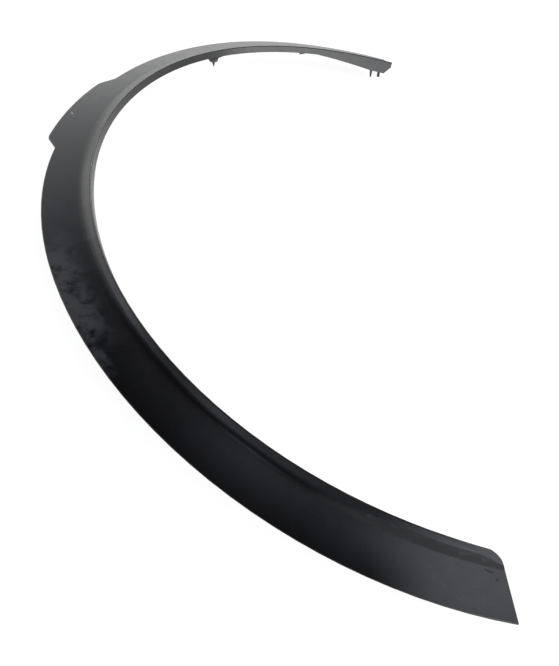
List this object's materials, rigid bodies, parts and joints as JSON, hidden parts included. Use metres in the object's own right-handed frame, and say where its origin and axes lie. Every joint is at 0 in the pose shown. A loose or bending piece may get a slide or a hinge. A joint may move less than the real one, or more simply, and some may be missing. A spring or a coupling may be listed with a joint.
{
  "type": "wheel arch trim",
  "caption": "Half-round wheel arch trim in black plastic: a sloped band with a raised inner bead, a stepped tab on its outer edge, end pegs and push-in clips behind.",
  "frame": {"origin": "under the middle of the part's box, at the level of the clip tips that it lies on", "axes": "+X along the chord from the near end to the far end, +Y from the open side to the crown of the arch, +Z out of the visible face"},
  "size_m": [0.869, 0.426, 0.0322],
  "materials": {
    "moulding": "satin moulded black with a fine grain",
    "clip": "smooth dark blue-grey moulded plastic"
  },
  "bodies": {
    "root": {"trim_moulding": "moulding", "push_clips": "clip"}
  },
  "joints": []
}
